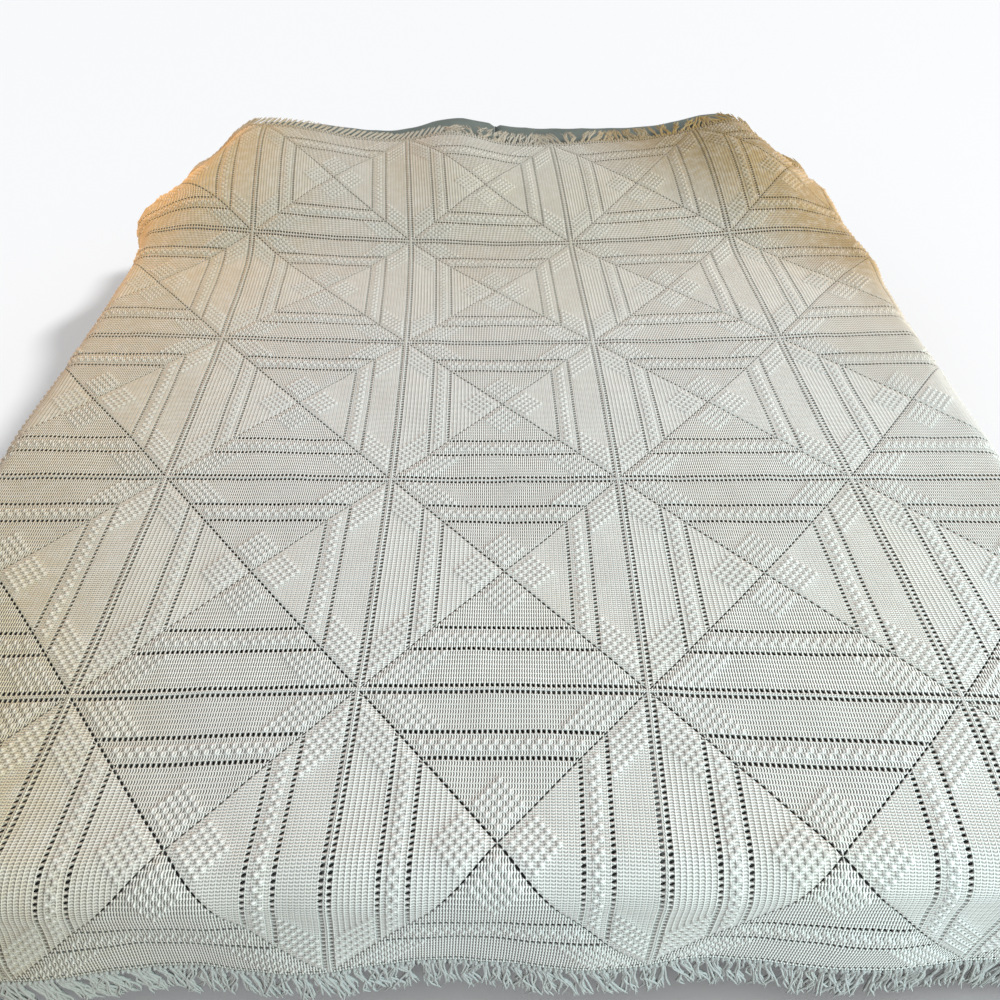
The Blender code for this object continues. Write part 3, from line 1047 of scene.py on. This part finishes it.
def pillow(name, middle, seed):
    """A pillow that fills the space under the raised cloth, with a seam round it."""
    bm = bmesh.new()
    columns, rows = PILLOW_GRID
    bmesh.ops.create_grid(bm, x_segments=columns, y_segments=rows, size=1.0)
    under = bmesh.ops.extrude_face_region(bm, geom=bm.faces[:], use_keep_orig=True)
    lower = {item for item in under["geom"] if isinstance(item, bmesh.types.BMVert)}
    across = np.linspace(-HALF, HALF, 64)
    head_edge = drape(across, np.full_like(across, HALF))
    for vert in bm.verts:
        side, front = vert.co.x, vert.co.y
        x, y = pillow_plan(middle, side, front)
        edge_y = np.interp(x + BED_MIDDLE.x, head_edge[:, 0], head_edge[:, 1])
        behind = y + BED_MIDDLE.y - edge_y - SWELL_GAP
        room = float(rise(np.array([x]), np.array([y]))[0]) - PILLOW_UNDER
        room += float(swell(x, behind))
        height = pillow_height(middle, side, front, room, seed)
        z = PILLOW_BASE if vert in lower else height
        vert.co = (x + BED_MIDDLE.x, y + BED_MIDDLE.y, BED_HIGH.z + z)
    bmesh.ops.recalc_face_normals(bm, faces=bm.faces)
    piece = finished(name + "_case", mesh_from(bm, name), SLATE_CASE)
    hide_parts(name)
    return piece


# --------------------------------------------------------- camera and lights

def camera():
    data = bpy.data.cameras.new("camera")
    data.sensor_width = SENSOR
    data.lens = LENS
    data.shift_y = SHIFT
    obj = bpy.data.objects.new("camera", data)
    bpy.context.scene.collection.objects.link(obj)
    pitch, yaw, roll = (math.radians(degrees) for degrees in (PITCH, YAW, ROLLED))
    turned = Matrix.Rotation(-yaw, 4, "Z") @ Matrix.Rotation(math.pi / 2 - pitch, 4, "X")
    place = Matrix.Translation((CAMERA_X, CAMERA_Y, CAMERA_Z))
    obj.matrix_world = place @ turned @ Matrix.Rotation(-roll, 4, "Z")
    bpy.context.scene.camera = obj


def floor():
    bm = bmesh.new()
    bmesh.ops.create_grid(bm, x_segments=1, y_segments=1, size=FLOOR_SIZE)
    obj = bpy.data.objects.new("floor", mesh_from(bm, "floor"))
    bpy.context.scene.collection.objects.link(obj)
    obj.data.materials.append(floor_finish())


def dome():
    """Soft light from all round; the backdrop itself is plain white."""
    world = bpy.data.worlds.new("studio")
    bpy.context.scene.world = world
    world.use_nodes = True
    nodes, links = world.node_tree.nodes, world.node_tree.links
    background = nodes["Background"]
    background.inputs["Color"].default_value = DOME_COLOR
    background.inputs["Strength"].default_value = DOME_STRENGTH
    backdrop = nodes.new("ShaderNodeBackground")
    backdrop.inputs["Color"].default_value = (1.0, 1.0, 1.0, 1.0)
    seen = nodes.new("ShaderNodeLightPath")
    mix = nodes.new("ShaderNodeMixShader")
    links.new(seen.outputs["Is Camera Ray"], mix.inputs["Fac"])
    links.new(background.outputs[0], mix.inputs[1])
    links.new(backdrop.outputs[0], mix.inputs[2])
    links.new(mix.outputs[0], nodes["World Output"].inputs["Surface"])


def light(name, kind, color, power):
    """A light at the middle of the scene, not aimed yet."""
    data = bpy.data.lights.new(name, kind)
    data.energy = power
    data.color = color
    obj = bpy.data.objects.new(name, data)
    bpy.context.scene.collection.objects.link(obj)
    return obj


def sun():
    """Light through a window at the right."""
    obj = light("window", "SUN", SUN_COLOR, SUN_STRENGTH)
    obj.data.angle = math.radians(SUN_SOFTNESS)
    obj.rotation_euler = Vector(SUN_TOWARD).to_track_quat("Z", "Y").to_euler()


def lamp(name, place, aim, size, power, color):
    obj = light(name, "AREA", color, power)
    obj.data.size = size
    obj.location = place
    obj.rotation_euler = (Vector(aim) - Vector(place)).to_track_quat("-Z", "Y").to_euler()
    return obj


def shine_only_on(lamps, pieces):
    """The lamps light the spread and leave the floor alone."""
    lit = bpy.data.collections.new("lamp_lit")
    for piece in pieces:
        lit.objects.link(piece)
    for obj in lamps:
        obj.light_linking.receiver_collection = lit


def picture_tone():
    scene = bpy.context.scene
    scene.view_settings.view_transform = "Standard"
    scene.view_settings.look = "None"


# ------------------------------------------------------------------ assembly

def bedspread_strips():
    """The spread's five strips; the two at the head also lie on the pillows."""
    block = crochet_block()
    strips = []
    for row in range(BLOCKS):
        strip = finished(f"bedspread_strip_{row + 1}", crochet_strip(block, row), CROCHET)
        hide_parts("bedspread")
        strips.append(strip)
    bpy.data.meshes.remove(block)
    return strips


CROCHET = crochet_finish()
FRINGE_COTTON = fringe_finish()
SLATE_SHEET = slate_finish("slate_sheet", SLATE, SHEET_THREAD)
SLATE_CASE = slate_finish("slate_pillow_case", SLATE_PILLOW, CASE_THREAD)

camera()
floor()
dome()
sun()
lamps = [lamp(*row) for row in LAMPS]
picture_tone()
cover = mattress_cover()
pillows = [pillow("pillow_left", -PILLOW_MIDDLE, 0.0),
           pillow("pillow_right", PILLOW_MIDDLE, 2.0)]
tassels = fringes()
strips = bedspread_strips()
shine_only_on(lamps, strips + [piece for row in tassels for piece in row])
